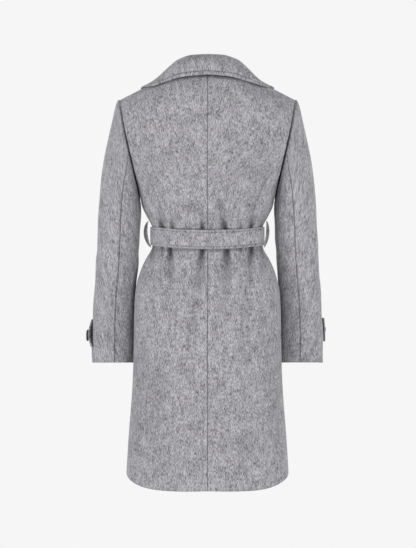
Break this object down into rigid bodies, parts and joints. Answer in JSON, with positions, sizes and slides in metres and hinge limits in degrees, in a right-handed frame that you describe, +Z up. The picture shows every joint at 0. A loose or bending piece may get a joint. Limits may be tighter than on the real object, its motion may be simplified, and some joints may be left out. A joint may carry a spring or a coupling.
{
  "type": "wrap coat",
  "caption": "Knee-length belted wrap coat in grey wool, in worn form, with a wide collar, princess-seamed back, two-piece sleeves and buttoned cuff tabs.",
  "frame": {"origin": "midway between the two points where the shoulder seams meet the neck seam, where the wearer's shoulders hold the coat", "axes": "+Z up, +Y out of the wearer's back, +X towards the wearer's left"},
  "size_m": [0.5858, 0.2784, 0.9963],
  "materials": {
    "wool": "napped grey melange wool, matte",
    "horn": "dark horn-like button, satin"
  },
  "bodies": {
    "root": {"back_left": "wool", "back_right": "wool", "side_back_left": "wool", "side_back_right": "wool", "front_over": "wool", "front_under": "wool", "lapel_over": "wool", "lapel_under": "wool", "collar_stand": "wool", "collar_fall": "wool", "sleeve_upper_left": "wool", "sleeve_upper_right": "wool", "sleeve_under_left": "wool", "sleeve_under_right": "wool", "cuff_tab_left": "wool", "cuff_tab_right": "wool", "belt_waist": "wool", "belt_knot": "wool", "belt_end_left": "wool", "belt_end_right": "wool", "belt_loop_left": "wool", "belt_loop_right": "wool", "cuff_button_left": "horn", "cuff_button_right": "horn"}
  },
  "joints": []
}
